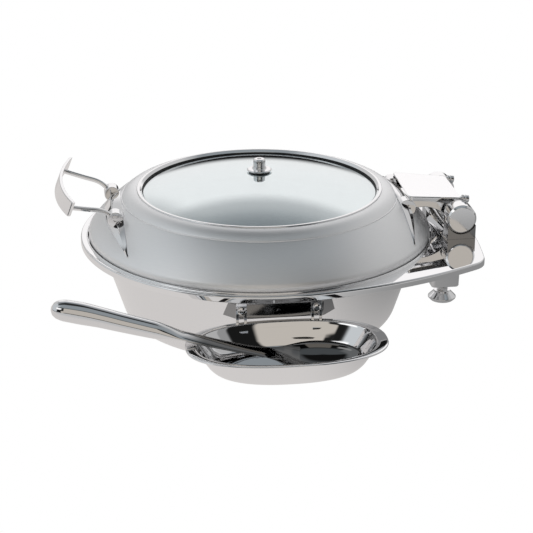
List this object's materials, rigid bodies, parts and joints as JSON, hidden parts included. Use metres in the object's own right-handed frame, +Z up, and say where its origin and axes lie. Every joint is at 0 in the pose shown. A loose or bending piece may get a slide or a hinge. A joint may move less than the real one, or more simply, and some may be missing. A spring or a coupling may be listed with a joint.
{
  "type": "chafing tureen",
  "caption": "Round polished steel food tureen with a hinged glass-topped lid, lift handle, side spoon dish and serving spoon.",
  "frame": {"origin": "centre of the bowl's flat base ring, on the table", "axes": "+Z up; +Y towards the lid hinge, -Y towards the lid's lift handle; +X towards the spoon dish"},
  "size_m": [0.566, 0.5407, 0.207],
  "materials": {
    "polished_steel": "mirror polished stainless steel",
    "satin_steel": "fine satin brushed stainless steel",
    "silicone_black": "matt black silicone",
    "silicone_clear": "translucent white silicone",
    "spring_steel": "drawn spring wire",
    "window_glass": "clear tempered glass, faint green-blue tint"
  },
  "bodies": {
    "base": {"outer_bowl": "polished_steel", "induction_disc": "satin_steel", "rim_frame": "polished_steel", "lid_bumpers": "silicone_clear", "support_post": "polished_steel", "hinge_pedestals": "polished_steel", "hinge_base_screws": "satin_steel", "hinge_axle": "satin_steel", "hinge_end_caps": "polished_steel", "hinge_collars": "polished_steel", "torsion_springs": "spring_steel", "spring_anchor": "polished_steel", "spring_rod": "polished_steel", "dish_bracket": "polished_steel", "bracket_studs": "polished_steel", "bracket_screw": "polished_steel"},
    "lid": {"lid_shell": "satin_steel", "lid_glass": "window_glass", "glass_seal": "silicone_black", "window_ring": "polished_steel", "vent_seal": "silicone_black", "vent_flange": "polished_steel", "vent_stem": "satin_steel", "vent_nut": "satin_steel", "handle_bosses": "polished_steel", "handle_strap": "polished_steel", "hinge_bosses": "polished_steel", "hinge_strap": "polished_steel", "boss_screws": "polished_steel", "handle_bar": "polished_steel", "handle_rods": "polished_steel", "hinge_arms": "polished_steel", "cross_rods": "polished_steel", "cover_plate": "polished_steel", "stop_bolts": "polished_steel"},
    "vent_knob": {"vent_cap": "polished_steel"},
    "food_pan": {"food_pan": "satin_steel"},
    "spoon_dish": {"spoon_dish": "polished_steel", "dish_hooks": "polished_steel"},
    "spoon": {"spoon_bowl": "polished_steel", "spoon_handle": "polished_steel"},
    "foot_screw": {"foot_stem": "satin_steel"},
    "foot_pad": {"foot_pad": "polished_steel"}
  },
  "joints": [
    {"name": "lid_hinge", "type": "hinge", "parent": "base", "child": "lid", "pos_m": [0, 0.25, 0.1375], "axis": [-1, 0, 0], "range_deg": [0, 90]},
    {"name": "vent_turn", "type": "hinge", "parent": "lid", "child": "vent_knob", "pos_m": [0, 0, 0.2], "axis": [0, 0, 1], "range_deg": [0, 90]},
    {"name": "food_pan_lift", "type": "slide", "parent": "base", "child": "food_pan", "axis": [0, 0, 1], "range_m": [0, 0.003]},
    {"name": "spoon_dish_lift", "type": "slide", "parent": "base", "child": "spoon_dish", "axis": [0, 0, 1], "range_m": [0, 0.005]},
    {"name": "spoon_lift", "type": "slide", "parent": "spoon_dish", "child": "spoon", "axis": [0, 0, 1], "range_m": [0, 0.12]},
    {"name": "foot_height", "type": "slide", "parent": "base", "child": "foot_screw", "axis": [0, 0, 1], "range_m": [-0.006, 0.005]},
    {"name": "foot_swivel", "type": "hinge", "parent": "foot_screw", "child": "foot_pad", "pos_m": [0, 0.246, 0], "axis": [0, 0, 1], "continuous": true}
  ]
}
